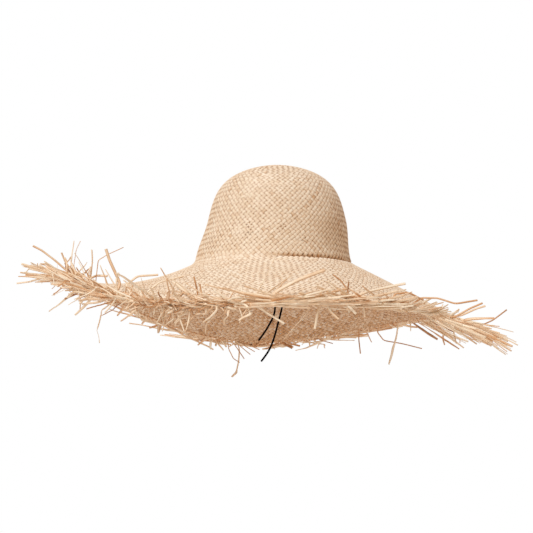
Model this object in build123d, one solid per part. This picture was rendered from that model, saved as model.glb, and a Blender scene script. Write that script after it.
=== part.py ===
from build123d import *
import math
import os

# A wide-brimmed straw sun hat with a frayed edge, in millimetres.
# +Z is up along the crown's axis, -Y is the front and +X is the side whose brim droops.
# The origin is the centre of the head opening, where the crown meets the brim.

# Crown: an oval dome, given by its side-to-side radius at each height, which leans a little to the right
CROWN_HEIGHT = 117.2
CROWN_TOP_RADIUS = 67.3
CROWN_BASE_EXTRA = 24.7
DOME_SQUARENESS = 7.6
DOME_ROUNDING = 1.64
CROWN_LEAN = 4.7
LEAN_START = 8.0
LEAN_END = 52.0
HEAD_OVAL = 1.13
WEAVE_THICKNESS = 1.6

# Brim: starts just under the crown's base and ends at the last row of the weave
BRIM_START_RADIUS = 92.2
BRIM_START_HEIGHT = -1.0
BRIM_EDGE_RADIUS = 222.0
BRIM_EDGE_SHIFT = -7.0
BRIM_START_DROP = -58.0
BRIM_START_DROP_TILT = 4.0
BRIM_START_DROP_SIDES = -8.0
EDGE_HEIGHT = -54
EDGE_COSINES = (-16, 14, -7)
EDGE_SINES = (0, 1, 6)
SECTION_STEP = 12.0

# Edge finish: a twined pair of strands round the last row, then the frayed ends
TWINING_SIZE = 2.4
FRINGE_REACH = 42.0
FRINGE_REACH_SWING = 20.0
FRINGE_THICKNESS = 4.0
EDGE_GAP = 0.25
SECTOR_GAP_DEGREES = 0.1
FRINGE_SECTORS = (
    "fringe_right",
    "fringe_back_right",
    "fringe_back",
    "fringe_back_left",
    "fringe_left",
    "fringe_front_left",
    "fringe_front",
    "fringe_front_right",
)

# Sweatband: a strip inside the crown, folded out to the wall along its lower edge
BAND_BOTTOM = 0.2
BAND_FOLD_TOP = 1.2
BAND_TOP = 31.0
BAND_THICKNESS = 0.9
CHANNEL_WIDTH = 3.2
FOLD_GAP = 0.25
NOTCH_LEFT = -1.0
NOTCH_RIGHT = 23.0
NOTCH_FRONT = 95.0
NOTCH_BACK = 102.5
NOTCH_HEIGHT = 2.0
STITCH_COUNT = 120
STITCH_LENGTH = 2.8
STITCH_DIAMETER = 0.5
STITCH_HEIGHT = 3.5
STITCH_CLEARANCE = 0.05

# Drawstring: runs round behind the sweatband, and both ends hang out at the back
CORD_DIAMETER = 2.4
CORD_HEIGHT = 12.0
CORD_BEND_RADIUS = 8.0
CORD_END_HEIGHT = 0.2
CORD_START_DEGREES = 92.0
CORD_FINISH_DEGREES = 434.0
TAIL_LONG_ROUTE = (
    (17.0, 99.1, -0.8),
    (16.4, 98.2, -11.5),
    (14.9, 95.9, -24.5),
    (12.2, 94.7, -37.5),
    (9.4, 94.0, -50.5),
    (6.0, 93.8, -63.0),
    (2.9, 93.9, -75.0),
    (-0.3, 94.2, -85.0),
    (-4.6, 94.6, -94.5),
    (-9.3, 94.9, -101.5),
    (-14.2, 95.0, -107.8),
)
TAIL_SHORT_ROUTE = (
    (4.9, 100.8, -0.8),
    (4.5, 101.5, -12.5),
    (3.9, 101.4, -25.0),
    (3.1, 100.9, -36.5),
    (2.6, 100.6, -46.5),
    (0.4, 100.3, -54.0),
    (-5.6, 100.0, -65.0),
    (-11.3, 99.7, -74.2),
    (-17.4, 99.6, -82.0),
)
CORNER_SHARE = 0.45


def crown_radius(height):
    """Side-to-side radius of the crown's outside at a height."""
    wall = CROWN_TOP_RADIUS + CROWN_BASE_EXTRA * (1 - height / CROWN_HEIGHT)
    dome = max(0.0, 1 - max(0.0, height / CROWN_HEIGHT) ** DOME_SQUARENESS)
    return wall * dome ** (1 / DOME_ROUNDING)


def crown_lean(height):
    """How far the crown leans towards +X at a height: nothing at its base, all of it above LEAN_END."""
    share = min(1.0, max(0.0, (height - LEAN_START) / (LEAN_END - LEAN_START)))
    return CROWN_LEAN * share * share * (3 - 2 * share)


def crown_profile(depth, count=14):
    """Radius and height of points down the crown's profile, at a depth inside its surface."""
    points = []
    for i in range(1, count):
        turn = math.radians(90 * (1 - i / (count - 1)))
        height = CROWN_HEIGHT * math.sin(turn)
        step = 1e-3
        up = CROWN_HEIGHT * math.sin(turn + step)
        down = CROWN_HEIGHT * math.sin(turn - step)
        along = Vector(crown_radius(up) - crown_radius(down), 0, up - down).normalized()
        outward = Vector(along.Z, 0, -along.X)
        points.append(Vector(crown_radius(height), 0, height) - outward * depth)
    points[-1] = Vector(crown_radius(0) - depth, 0, 0)
    return points


def crown_dome(depth):
    """The solid dome inside the crown's surface at a depth: ovals of the profile, and its tip."""
    ovals = []
    for point in reversed(crown_profile(depth)):
        plane = Plane(origin=(crown_lean(point.Z), 0, point.Z))
        ovals.append(plane * Ellipse(point.X, point.X * HEAD_OVAL))
    tip = Vertex(crown_lean(CROWN_HEIGHT), 0, CROWN_HEIGHT - depth)
    return loft(ovals + [tip])


def make_crown():
    return crown_dome(0) - crown_dome(WEAVE_THICKNESS)


def brim_edge_radius(angle):
    return BRIM_EDGE_RADIUS + BRIM_EDGE_SHIFT * math.cos(angle)


def brim_edge_height(angle):
    """Height of the woven edge: a mean droop, and waves round the brim."""
    waves = sum(a * math.cos((k + 1) * angle) for k, a in enumerate(EDGE_COSINES))
    waves += sum(a * math.sin((k + 1) * angle) for k, a in enumerate(EDGE_SINES))
    return EDGE_HEIGHT + waves


def brim_ends(angle):
    """The brim's start on the head oval, and its woven edge, both in plan."""
    start = Vector(math.cos(angle), HEAD_OVAL * math.sin(angle)) * BRIM_START_RADIUS
    end = Vector(math.cos(angle), math.sin(angle)) * brim_edge_radius(angle)
    return start, end


def past_edge(angle, distance):
    """Share of the brim's width, where 1 is the woven edge, at a distance beyond that edge."""
    start, end = brim_ends(angle)
    return 1 + distance / (end - start).length


def brim_point(angle, share, lift=0.0):
    """A point of the brim's middle surface, lifted along its normal."""
    start, end = brim_ends(angle)
    cosine = math.cos(angle)
    first = BRIM_START_DROP + BRIM_START_DROP_TILT * cosine + BRIM_START_DROP_SIDES * cosine ** 2
    second = brim_edge_height(angle) - BRIM_START_HEIGHT - first
    across = end - start
    plan = start + across * share
    height = BRIM_START_HEIGHT + first * share + second * share * share
    slope = (first + 2 * second * share) / across.length
    level = across.normalized()
    normal = Vector(-level.X * slope, -level.Y * slope, 1).normalized()
    return Vector(plan.X, plan.Y, height) + normal * lift


def fringe_reach(angle):
    """How far the frayed ends stand out: furthest at the sides, as they lie along the edge at front and back."""
    return FRINGE_REACH + FRINGE_REACH_SWING * math.cos(2 * angle)


def brim_section(angle, inner, outer, thickness):
    """A closed section of the brim's surface between two shares of its width."""
    shares = [inner + (outer - inner) * i / 4 for i in range(5)]
    upper = Spline(*[brim_point(angle, s, thickness / 2) for s in shares])
    lower = Spline(*[brim_point(angle, s, -thickness / 2) for s in shares])
    outside = Line(upper @ 1, lower @ 1)
    inside = Line(upper @ 0, lower @ 0)
    return Wire([upper, outside, lower, inside])


def brim_sector(first, last, thickness, near=None, far=0.0):
    """A sector in degrees. near and far are distances past the woven edge.

    Where near is None it is the brim's start, and where far is None it is the fringe's tips.
    """
    steps = max(2, round((last - first) / SECTION_STEP))
    sections = []
    for i in range(steps + 1):
        angle = math.radians(first + (last - first) * i / steps)
        inner = 0.0 if near is None else past_edge(angle, near)
        outer = past_edge(angle, fringe_reach(angle) if far is None else far)
        sections.append(brim_section(angle, inner, outer, thickness))
    return Solid.make_loft(sections)


def brim_ring(thickness, near=None, far=0.0):
    halves = [brim_sector(a, a + 180, thickness, near, far) for a in (0, 180)]
    return halves[0].fuse(halves[1])


def make_brim():
    return brim_ring(WEAVE_THICKNESS)


def make_edge_twining():
    return brim_ring(TWINING_SIZE, EDGE_GAP, EDGE_GAP + TWINING_SIZE)


def make_fringe_sector(number):
    width = 360 / len(FRINGE_SECTORS)
    middle = number * width
    first = middle - width / 2 + SECTOR_GAP_DEGREES
    last = middle + width / 2 - SECTOR_GAP_DEGREES
    near = TWINING_SIZE + 2 * EDGE_GAP
    return brim_sector(first, last, FRINGE_THICKNESS, near, None)


def wall_inside(height):
    """Side-to-side radius of the crown's inner face, near its base."""
    return crown_radius(height) - WEAVE_THICKNESS


def make_sweatband():
    gap = CHANNEL_WIDTH + BAND_THICKNESS
    corners = [
        (wall_inside(BAND_BOTTOM) - FOLD_GAP, 0, BAND_BOTTOM),
        (wall_inside(BAND_FOLD_TOP) - FOLD_GAP, 0, BAND_FOLD_TOP),
        (wall_inside(BAND_FOLD_TOP) - CHANNEL_WIDTH, 0, BAND_FOLD_TOP),
        (wall_inside(BAND_TOP) - CHANNEL_WIDTH, 0, BAND_TOP),
        (wall_inside(BAND_TOP) - gap, 0, BAND_TOP),
        (wall_inside(BAND_BOTTOM) - gap, 0, BAND_BOTTOM),
    ]
    section = Face(Wire.make_polygon(corners))
    band = scale(revolve(section, Axis.Z, 360), by=(1, HEAD_OVAL, 1))
    low = (NOTCH_LEFT, NOTCH_FRONT, BAND_BOTTOM - 1)
    size = (NOTCH_RIGHT - NOTCH_LEFT, NOTCH_BACK - NOTCH_FRONT, NOTCH_HEIGHT + 1 - BAND_BOTTOM)
    notch = Pos(*low) * Box(*size, align=(Align.MIN, Align.MIN, Align.MIN))
    return band - notch


def make_sweatband_stitching():
    inset = CHANNEL_WIDTH + BAND_THICKNESS + STITCH_DIAMETER / 2 + STITCH_CLEARANCE
    side = wall_inside(STITCH_HEIGHT) - inset
    stitches = []
    for i in range(STITCH_COUNT):
        angle = 2 * math.pi * i / STITCH_COUNT
        middle = Vector(side * math.cos(angle), side * HEAD_OVAL * math.sin(angle), STITCH_HEIGHT)
        along = Vector(-math.sin(angle), HEAD_OVAL * math.cos(angle), 0).normalized()
        start = middle - along * (STITCH_LENGTH / 2)
        plane = Plane(origin=start, z_dir=along)
        stitches.append(Solid.make_cylinder(STITCH_DIAMETER / 2, STITCH_LENGTH, plane))
    return Compound(stitches)


def cord_end(degrees, direction):
    """The bend and the straight run that take the drawstring down along the wall to its exit."""
    side = wall_inside(CORD_HEIGHT) - CHANNEL_WIDTH / 2
    angle = math.radians(degrees)
    point = Vector(side * math.cos(angle), side * HEAD_OVAL * math.sin(angle), CORD_HEIGHT)
    along = Vector(-math.sin(angle), HEAD_OVAL * math.cos(angle), 0).normalized() * direction
    outward = Vector(HEAD_OVAL * math.cos(angle), math.sin(angle), 0).normalized()
    lean = HEAD_OVAL * CROWN_BASE_EXTRA / CROWN_HEIGHT
    down = (outward * lean - Vector(0, 0, 1)).normalized()
    turned = point + (along + down) * CORD_BEND_RADIUS
    run = (turned.Z - CORD_END_HEIGHT) / -down.Z
    bend = TangentArc(point, turned, tangent=along)
    return bend, Line(turned, turned + down * run)


def make_drawstring():
    side = wall_inside(CORD_HEIGHT) - CHANNEL_WIDTH / 2
    ring = EllipticalCenterArc(
        (0, 0, CORD_HEIGHT),
        side,
        side * HEAD_OVAL,
        CORD_START_DEGREES,
        arc_size=CORD_FINISH_DEGREES - CORD_START_DEGREES,
    )
    first_bend, first_run = cord_end(CORD_START_DEGREES, -1)
    last_bend, last_run = cord_end(CORD_FINISH_DEGREES, 1)
    print("drawstring ends", first_run @ 1, last_run @ 1, "ring starts", ring @ 0, "and ends", ring @ 1)
    path = Wire([first_run, first_bend, ring, last_bend, last_run])
    start = Plane(origin=first_run @ 1, z_dir=(first_run % 1) * -1)
    section = Face(Wire.make_circle(CORD_DIAMETER / 2, start))
    return Solid.sweep(section, path)


def tail_radii(route):
    """The largest tangent arc that each corner of a route has room for."""
    points = [Vector(*p) for p in route]
    radii = []
    for before, corner, after in zip(points, points[1:], points[2:]):
        turn = math.radians((corner - before).get_angle(after - corner))
        shorter = min((corner - before).length, (after - corner).length)
        radii.append(CORNER_SHARE * shorter / math.tan(turn / 2))
    return radii


def make_tail(name, route):
    radii = tail_radii(route)
    path = FilletPolyline(*route, radius=radii)
    start = Plane(origin=path @ 0, z_dir=path % 0)
    section = Face(Wire.make_circle(CORD_DIAMETER / 2, start))
    tail = Solid.sweep(section, path)
    expected = math.pi * (CORD_DIAMETER / 2) ** 2 * path.length
    print(name, "length", round(path.length, 1), "radii", [round(r, 1) for r in radii])
    print(name, "volume", round(tail.volume, 1), "section times length", round(expected, 1))
    return tail


def main():
    os.makedirs("parts", exist_ok=True)
    nodes = {
        "crown": make_crown(),
        "brim": make_brim(),
        "edge_twining": make_edge_twining(),
        "sweatband": make_sweatband(),
        "sweatband_stitching": make_sweatband_stitching(),
        "drawstring": make_drawstring(),
        "drawstring_tail_long": make_tail("long tail", TAIL_LONG_ROUTE),
        "drawstring_tail_short": make_tail("short tail", TAIL_SHORT_ROUTE),
    }
    for number, name in enumerate(FRINGE_SECTORS):
        nodes[name] = make_fringe_sector(number)
    for name, shape in nodes.items():
        shape.label = name
        export_step(shape, f"parts/{name}.step")


main()
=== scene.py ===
import bpy
import math
import random
import numpy as np
from collections import namedtuple
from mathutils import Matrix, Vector


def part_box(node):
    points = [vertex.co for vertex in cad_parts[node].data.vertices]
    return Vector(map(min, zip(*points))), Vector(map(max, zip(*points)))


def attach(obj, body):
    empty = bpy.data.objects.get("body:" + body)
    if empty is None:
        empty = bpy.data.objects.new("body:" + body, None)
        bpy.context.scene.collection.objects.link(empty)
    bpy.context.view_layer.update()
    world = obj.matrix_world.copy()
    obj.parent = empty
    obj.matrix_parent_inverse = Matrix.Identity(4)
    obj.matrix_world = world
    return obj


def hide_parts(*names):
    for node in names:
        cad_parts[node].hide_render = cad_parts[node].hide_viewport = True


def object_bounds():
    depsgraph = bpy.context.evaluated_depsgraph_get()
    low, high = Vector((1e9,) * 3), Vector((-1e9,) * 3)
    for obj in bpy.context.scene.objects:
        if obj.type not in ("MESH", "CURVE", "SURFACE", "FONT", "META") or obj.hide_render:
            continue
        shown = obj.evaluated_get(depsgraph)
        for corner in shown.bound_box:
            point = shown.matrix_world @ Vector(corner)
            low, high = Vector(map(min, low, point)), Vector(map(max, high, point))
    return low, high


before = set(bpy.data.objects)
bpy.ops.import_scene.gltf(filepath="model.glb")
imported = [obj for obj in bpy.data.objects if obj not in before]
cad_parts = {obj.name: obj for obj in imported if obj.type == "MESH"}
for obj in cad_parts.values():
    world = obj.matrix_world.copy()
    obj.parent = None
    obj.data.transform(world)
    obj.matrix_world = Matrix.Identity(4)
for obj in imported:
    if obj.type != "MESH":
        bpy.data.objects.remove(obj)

cad_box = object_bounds()
MM = 0.001
HAT = "hat"

# ---------------- camera, cords and light. The cords' and the hat's own sizes are in millimetres.

CAMERA_DISTANCE = 2.2
CAMERA_ELEVATION = -6.0
PICTURE_WIDTH = 0.6236
CAMERA_AIM = (-0.0076, -0.0018)
SENSOR = 36.0
FAR_CLIP = 60
ROOM_COLOUR = (1.0, 0.725, 0.515, 1)
ROOM_STRENGTH = 0.42
FLOOR_RADIUS = 6.0
FLOOR_HEIGHT = -0.62
FLOOR_SIDES = 96
FLOOR_COLOUR = (0.83, 0.815, 0.805, 1)
CORD_DIAMETER = 2.4
BRAID_STEP = 0.3
BRAID_SIDES = 32
BRAID_STRANDS = 8
BRAID_PITCH = 9.0
BRAID_DEPTH = 0.06
CUT_ROUNDING = 0.8
CUT_NARROWING = 0.28
LONG_TAIL = (
    (17.0, 99.1, -0.8), (16.4, 98.2, -11.5), (14.9, 95.9, -24.5), (12.2, 94.7, -37.5),
    (9.4, 94.0, -50.5), (6.0, 93.8, -63.0), (2.9, 93.9, -75.0), (-0.3, 94.2, -85.0),
    (-4.6, 94.6, -94.5), (-9.3, 94.9, -101.5), (-14.2, 95.0, -107.8),
)
SHORT_TAIL = (
    (4.9, 100.8, -0.8), (4.5, 101.5, -12.5), (3.9, 101.4, -25.0), (3.1, 100.9, -36.5),
    (2.6, 100.6, -46.5), (0.4, 100.3, -54.0), (-5.6, 100.0, -65.0), (-11.3, 99.7, -74.2),
    (-17.4, 99.6, -82.0),
)


def add(name, data):
    obj = bpy.data.objects.new(name, data)
    bpy.context.scene.collection.objects.link(obj)
    return obj


def travelled(line):
    """How far each point of a line is along it."""
    return np.concatenate([[0], np.cumsum(np.linalg.norm(np.diff(line, axis=0), axis=1))])


def tube_faces(rows, sides, first=0):
    """The quads between each ring of points and the next along a tube."""
    row = np.arange(rows - 1)[:, None] * sides + first
    side = np.arange(sides)[None, :]
    after = (side + 1) % sides
    return np.stack([row + side, row + after, row + after + sides, row + side + sides], -1).reshape(-1, 4)


def smooth_mesh(name, points, faces):
    mesh = bpy.data.meshes.new(name)
    mesh.from_pydata([tuple(point) for point in points], [], faces)
    mesh.polygons.foreach_set("use_smooth", np.ones(len(faces), bool))
    return mesh


def feed(tree, made, values):
    """Puts plain values, and other nodes' outputs, into a node's inputs."""
    for key, value in values.items():
        if isinstance(value, bpy.types.NodeSocket):
            tree.links.new(value, made.inputs[key])
        else:
            made.inputs[key].default_value = value


def node(tree, kind, *values, **named):
    """A shader node, with its inputs given by order or by name, and its settings by name."""
    made = tree.nodes.new("ShaderNode" + kind)
    for key in [key for key in named if key not in made.inputs]:
        setattr(made, key, named.pop(key))
    feed(tree, made, {**named, **dict(enumerate(values))})
    return made


def new_material(name, finish):
    """A material with its node tree and its surface shader, which has the finish given."""
    material = bpy.data.materials.new(name)
    material.use_nodes = True
    tree = material.node_tree
    shader = tree.nodes["Principled BSDF"]
    feed(tree, shader, finish)
    return material, tree, shader


def make_camera():
    """Looks at the front from a little below."""
    data = bpy.data.cameras.new("camera")
    data.sensor_width = SENSOR
    data.lens = SENSOR * CAMERA_DISTANCE / PICTURE_WIDTH
    data.clip_end = FAR_CLIP
    cam = add("camera", data)
    tilt = math.radians(CAMERA_ELEVATION)
    back = Vector((0, -math.cos(tilt), math.sin(tilt)))
    up = Vector((0, math.sin(tilt), math.cos(tilt)))
    aim = Vector((CAMERA_AIM[0], 0, 0)) + up * CAMERA_AIM[1]
    cam.location = aim + back * CAMERA_DISTANCE
    cam.rotation_euler = back.to_track_quat("Z", "Y").to_euler()
    bpy.context.scene.camera = cam


def cord_line(route):
    """The smooth line of a free cord end, from the same route as its CAD tube."""
    data = bpy.data.curves.new("cord_line", "CURVE")
    data.dimensions = "3D"
    data.resolution_u = 16
    spline = data.splines.new("NURBS")
    spline.points.add(len(route) - 1)
    for point, corner in zip(spline.points, route):
        point.co = (*(c * MM for c in corner), 1)
    spline.order_u = 3
    spline.use_endpoint_u = True
    holder = bpy.data.objects.new("cord_line", data)
    mesh = bpy.data.meshes.new_from_object(holder)
    line = [vertex.co.copy() for vertex in mesh.vertices]
    bpy.data.objects.remove(holder)
    bpy.data.curves.remove(data)
    bpy.data.meshes.remove(mesh)
    return line


def even_line(line, step):
    """The same line with evenly spaced points."""
    points = np.array([tuple(p) for p in line])
    passed = travelled(points)
    marks = np.linspace(0, passed[-1], round(passed[-1] / step) + 1)
    return np.stack([np.interp(marks, passed, points[:, k]) for k in range(3)], 1), marks


def braid(name, line, marks):
    """A braided tube along a line: two sets of strands spiral opposite ways, over and under."""
    tangents = np.gradient(line, axis=0)
    tangents /= np.linalg.norm(tangents, axis=1, keepdims=True)
    side = np.array([1.0, 0.0, 0.0])
    sides = []
    for tangent in tangents:
        side = side - tangent * side.dot(tangent)
        side = side / np.linalg.norm(side)
        sides.append(side)
    sides = np.array(sides)
    others = np.cross(tangents, sides)
    turn = 2 * np.pi * np.arange(BRAID_SIDES) / BRAID_SIDES
    along = marks[:, None] / MM / BRAID_PITCH * 2 * np.pi
    one = np.cos(BRAID_STRANDS * (turn[None, :] + along))
    other = np.cos(BRAID_STRANDS * (turn[None, :] - along))
    radius = CORD_DIAMETER / 2 * MM * (1 - BRAID_DEPTH * (1 - np.maximum(one, other)) / 2)
    cut = np.minimum(1, (marks[-1] - marks) / (CUT_ROUNDING * MM))
    radius = radius * (1 - CUT_NARROWING + CUT_NARROWING * np.sqrt(cut))[:, None]
    ring = (
        line[:, None, :]
        + sides[:, None, :] * (radius * np.cos(turn))[..., None]
        + others[:, None, :] * (radius * np.sin(turn))[..., None]
    )
    points = np.concatenate([ring.reshape(-1, 3), line[:1], line[-1:]])
    rows = len(line)
    faces = tube_faces(rows, BRAID_SIDES).tolist()
    last = (rows - 1) * BRAID_SIDES
    for k in range(BRAID_SIDES):
        after = (k + 1) % BRAID_SIDES
        faces.append((after, k, rows * BRAID_SIDES))
        faces.append((last + k, last + after, rows * BRAID_SIDES + 1))
    return add(name, smooth_mesh(name, points, faces))


def make_tail(name, route, body, node_name):
    """A free end of the drawstring, with a bare cut."""
    line, marks = even_line(cord_line(route), BRAID_STEP * MM)
    tail = braid(name, line, marks)
    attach(tail, body)
    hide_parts(node_name)
    return tail


def sun_light(name, source, energy, colour, softness):
    data = bpy.data.lights.new(name, "SUN")
    data.energy = energy
    data.color = colour
    data.angle = math.radians(softness)
    lamp = add(name, data)
    lamp.location = source
    lamp.rotation_euler = Vector(source).to_track_quat("Z", "Y").to_euler()


def make_lights():
    """Two soft suns and a warm room, in front of plain white."""
    sun_light("key_light", (-0.76, -1.0, 1.17), energy=1.84, colour=(0.93, 0.975, 1.03), softness=20)
    sun_light("top_light", (0.0, -0.05, 1.0), energy=0.95, colour=(0.84, 0.94, 1.08), softness=40)
    world = bpy.data.worlds.new("studio")
    world.use_nodes = True
    tree = world.node_tree
    tree.nodes.clear()
    light = node(tree, "Background", Color=ROOM_COLOUR, Strength=ROOM_STRENGTH)
    seen = node(tree, "Background", Color=(1, 1, 1, 1), Strength=1.0)
    path = node(tree, "LightPath")
    mix = node(tree, "MixShader", path.outputs["Is Camera Ray"], light.outputs[0], seen.outputs[0])
    node(tree, "OutputWorld", mix.outputs[0])
    bpy.context.scene.world = world
    bpy.context.scene.view_settings.view_transform = "Standard"


def make_floor():
    mesh = bpy.data.meshes.new("floor")
    turns = [2 * math.pi * i / FLOOR_SIDES for i in range(FLOOR_SIDES)]
    ring = [(FLOOR_RADIUS * math.cos(turn), FLOOR_RADIUS * math.sin(turn), FLOOR_HEIGHT) for turn in turns]
    mesh.from_pydata(ring, [], [range(FLOOR_SIDES)])
    floor = add("floor", mesh)
    mesh.materials.append(new_material("floor", {"Base Color": FLOOR_COLOUR, "Roughness": 0.9})[0])


# ---------------- the hat's surface

HEAD_OVAL = 1.13
CROWN_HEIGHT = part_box("crown")[1][2] / MM
CROWN_TOP_RADIUS = 67.3
CROWN_BASE_EXTRA = 24.7
DOME_SQUARENESS = 7.6
DOME_ROUNDING = 1.64
CROWN_LEAN = 4.7
LEAN_START = 8.0
LEAN_END = 52.0
BRIM_START_RADIUS = 92.2
BRIM_START_HEIGHT = -1.0
BRIM_EDGE_RADIUS = 222.0
BRIM_EDGE_SHIFT = -7.0
BRIM_START_DROP = -58.0
BRIM_START_DROP_TILT = 4.0
BRIM_START_DROP_SIDES = -8.0
EDGE_HEIGHT = -54.0
EDGE_COSINES = (-16.0, 14.0, -7.0)
EDGE_SINES = (0.0, 1.0, 6.0)
WEAVE_THICKNESS = 1.6
FOLD_REACH = 6.0
CREASE_DEPTH = 4.6
CREASE_TURN = 40.0
CREASE_START = 262.0
CREASE_END = 392.0
CREASE_FADE_IN = 20.0
CREASE_FADE_OUT = 36.0
CREASE_SHARPNESS = 1.3
CREASE_LENGTH = 3.2
CREASE_MIDDLE = -0.6
CREASE_INWARDS = 0.78
CREASE_DOWN = 0.62
PUCKERS = 88
PUCKER_DEPTH = 0.26
FINE_PUCKERS = 2.6
FINE_PUCKER_DEPTH = 0.16


def crown_radius(height):
    """The crown's outer radius across its width: a straight wall under a squarish dome."""
    wall = CROWN_TOP_RADIUS + CROWN_BASE_EXTRA * (1 - height / CROWN_HEIGHT)
    dome = np.maximum(0, 1 - np.maximum(0, height / CROWN_HEIGHT) ** DOME_SQUARENESS)
    return wall * dome ** (1 / DOME_ROUNDING)


def crown_lean(height):
    """How far the crown leans towards +X at a height."""
    share = np.clip((height - LEAN_START) / (LEAN_END - LEAN_START), 0, 1)
    return CROWN_LEAN * share * share * (3 - 2 * share)


def crown_table():
    """Distance down the crown's middle surface from its tip, with the radius and height there."""
    turn = np.linspace(np.pi / 2, 0, 3000)
    height = CROWN_HEIGHT * np.sin(turn)
    radius = crown_radius(height)
    dr = np.gradient(radius)
    dz = np.gradient(height)
    size = np.hypot(dr, dz)
    radius = np.maximum(0, radius + dz / size * WEAVE_THICKNESS / 2)
    height = height - dr / size * WEAVE_THICKNESS / 2
    step = np.hypot(np.diff(radius) * (1 + HEAD_OVAL) / 2, np.diff(height))
    return np.concatenate([[0], np.cumsum(step)]), radius, height


CROWN_ALONG, CROWN_RADII, CROWN_HEIGHTS = crown_table()
CROWN_LENGTH = CROWN_ALONG[-1]
BRIM_LENGTH = 137.0
WOVEN_LENGTH = CROWN_LENGTH + BRIM_LENGTH


def oval(radius, angle, height):
    """A point of an upright oval round the head."""
    return np.stack(np.broadcast_arrays(radius * np.cos(angle), HEAD_OVAL * radius * np.sin(angle), height), -1)


def crown_place(along, angle):
    """The crown's middle surface."""
    radius = np.interp(along, CROWN_ALONG, CROWN_RADII)
    height = np.interp(along, CROWN_ALONG, CROWN_HEIGHTS)
    point = oval(radius, angle, height)
    point[..., 0] += crown_lean(height)
    return point


def edge_height(angle):
    """The height of the wavy woven edge."""
    waves = sum(a * np.cos((k + 1) * angle) for k, a in enumerate(EDGE_COSINES))
    waves = waves + sum(a * np.sin((k + 1) * angle) for k, a in enumerate(EDGE_SINES))
    return EDGE_HEIGHT + waves


def brim_place(share, angle):
    """The brim's middle surface, which runs on past the woven edge at a share of 1."""
    cosine = np.cos(angle)
    sine = np.sin(angle)
    start = np.stack([cosine, HEAD_OVAL * sine], -1) * BRIM_START_RADIUS
    end = np.stack([cosine, sine], -1) * (BRIM_EDGE_RADIUS + BRIM_EDGE_SHIFT * cosine)[..., None]
    first = BRIM_START_DROP + BRIM_START_DROP_TILT * cosine + BRIM_START_DROP_SIDES * cosine ** 2
    second = edge_height(angle) - BRIM_START_HEIGHT - first
    plan = start + (end - start) * share[..., None]
    height = BRIM_START_HEIGHT + first * share + second * share * share
    return np.concatenate([plan, height[..., None]], -1)


def crease_depth(angle):
    """How far the weave is pinched inwards under the crown, on the front right only."""
    turn = np.degrees(np.mod(angle - math.radians(CREASE_TURN), 2 * np.pi)) + CREASE_TURN
    fade_in = np.clip((turn - CREASE_START) / CREASE_FADE_IN, 0, 1)
    fade_out = np.clip((CREASE_END - turn) / CREASE_FADE_OUT, 0, 1)
    puckers = PUCKER_DEPTH * np.sin(PUCKERS * angle)
    fine_puckers = FINE_PUCKER_DEPTH * np.sin(FINE_PUCKERS * PUCKERS * angle)
    return CREASE_DEPTH * fade_in * fade_out * (1 + puckers + fine_puckers)


def pinch(along):
    """Share of the crease's depth at a distance from the crown's tip."""
    away = np.abs(along - CROWN_LENGTH - CREASE_MIDDLE)
    return np.clip(1 - away / CREASE_LENGTH, 0, 1) ** CREASE_SHARPNESS


def place(along, angle):
    """A point of the hat's middle surface, at a distance from the crown's tip and an angle round it."""
    along, angle = np.broadcast_arrays(np.asarray(along, float), np.asarray(angle, float))
    crown = crown_place(np.minimum(along, CROWN_LENGTH), angle)
    brim = brim_place(np.maximum(0, along - CROWN_LENGTH) / BRIM_LENGTH, angle)
    point = np.where((along < CROWN_LENGTH)[..., None], crown, brim)
    fold = np.clip((along - CROWN_LENGTH + FOLD_REACH) / (2 * FOLD_REACH), 0, 1)[..., None]
    above = crown_place(np.full_like(along, CROWN_LENGTH - FOLD_REACH), angle)
    below = brim_place(np.full_like(along, FOLD_REACH / BRIM_LENGTH), angle)
    corner = (crown_place(np.full_like(along, CROWN_LENGTH), angle) + brim_place(np.zeros_like(along), angle)) / 2
    rounded = (1 - fold) ** 2 * above + 2 * fold * (1 - fold) * corner + fold ** 2 * below
    near = (np.abs(along - CROWN_LENGTH) < FOLD_REACH)[..., None]
    point = np.where(near, rounded, point)
    outwards = np.stack([np.cos(angle), np.sin(angle), np.zeros_like(angle)], -1)
    shift = outwards * CREASE_INWARDS + np.array([0, 0, CREASE_DOWN])
    return point - shift * (crease_depth(angle) * pinch(along))[..., None]


def unit(vectors):
    """The vectors at a length of one."""
    return vectors / np.maximum(np.linalg.norm(vectors, axis=-1, keepdims=True), 1e-9)


def outward(along, angle):
    """The surface's outward normal."""
    down = place(along + 0.8, angle) - place(np.maximum(along - 0.8, 0.3), angle)
    round_it = place(along, angle + 0.01) - place(along, angle - 0.01)
    return unit(np.cross(down, round_it))


# ---------------- ribbons

# Cross-sections of a strand, as (across, up) from its middle to its faces
RIBBON = np.array([
    (-1, 0), (-0.55, 0.8), (0.0, 1.0), (0.55, 0.8), (1, 0), (0.55, -0.8), (0.0, -1.0), (-0.55, -0.8),
])
LEAN_RIBBON = np.array([(-1, 0), (-0.5, 0.95), (0.5, 0.95), (1, 0), (0.5, -0.95), (-0.5, -0.95)])
FLAT_RIBBON = np.array([(-1, 0), (-0.7, 0.9), (0.7, 0.9), (1, 0), (0.7, -0.9), (-0.7, -0.9)])


STRAND_OFFSET = 7.31


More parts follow.
